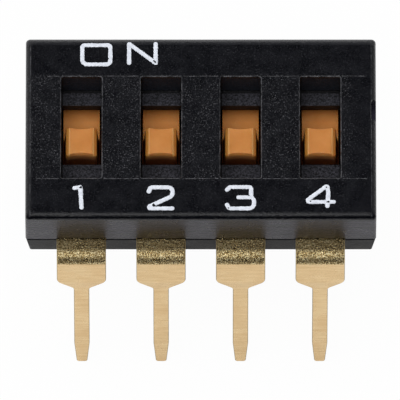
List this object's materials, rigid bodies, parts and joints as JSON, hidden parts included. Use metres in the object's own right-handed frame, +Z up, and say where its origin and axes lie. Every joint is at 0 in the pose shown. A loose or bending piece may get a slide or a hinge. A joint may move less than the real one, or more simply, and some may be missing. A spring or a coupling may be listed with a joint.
{
  "type": "dip switch",
  "caption": "Low-profile slide dip switch: black moulded body, amber sliders in stepped slots, and rows of bent gold through-hole terminals.",
  "frame": {"origin": "centre of the row at the level of the terminal tips", "axes": "+X along the row of switches from 1 to 4, +Y towards the ON side, +Z up out of the slots"},
  "size_m": [0.0112, 0.0102, 0.0068],
  "materials": {
    "cover_plastic": "fine moulded grain, satin on the sides",
    "base_plastic": "smooth moulded",
    "slider_plastic": "amber, slightly translucent",
    "contact_metal": "plated spring strip",
    "terminal_gold": "gold plated, grainy where bent"
  },
  "bodies": {
    "housing": {"cover": "cover_plastic", "base": "base_plastic", "terminal_near_1": "terminal_gold", "terminal_near_2": "terminal_gold", "terminal_near_3": "terminal_gold", "terminal_near_4": "terminal_gold", "terminal_far_1": "terminal_gold", "terminal_far_2": "terminal_gold", "terminal_far_3": "terminal_gold", "terminal_far_4": "terminal_gold"},
    "actuator_1": {"slider_1": "slider_plastic", "contact_1": "contact_metal"},
    "actuator_2": {"slider_2": "slider_plastic", "contact_2": "contact_metal"},
    "actuator_3": {"slider_3": "slider_plastic", "contact_3": "contact_metal"},
    "actuator_4": {"slider_4": "slider_plastic", "contact_4": "contact_metal"}
  },
  "joints": [
    {"name": "switch_1", "type": "slide", "parent": "housing", "child": "actuator_1", "axis": [0, 1, 0], "range_m": [0, 0.001]},
    {"name": "switch_2", "type": "slide", "parent": "housing", "child": "actuator_2", "axis": [0, 1, 0], "range_m": [0, 0.001]},
    {"name": "switch_3", "type": "slide", "parent": "housing", "child": "actuator_3", "axis": [0, 1, 0], "range_m": [0, 0.001]},
    {"name": "switch_4", "type": "slide", "parent": "housing", "child": "actuator_4", "axis": [0, 1, 0], "range_m": [0, 0.001]}
  ]
}
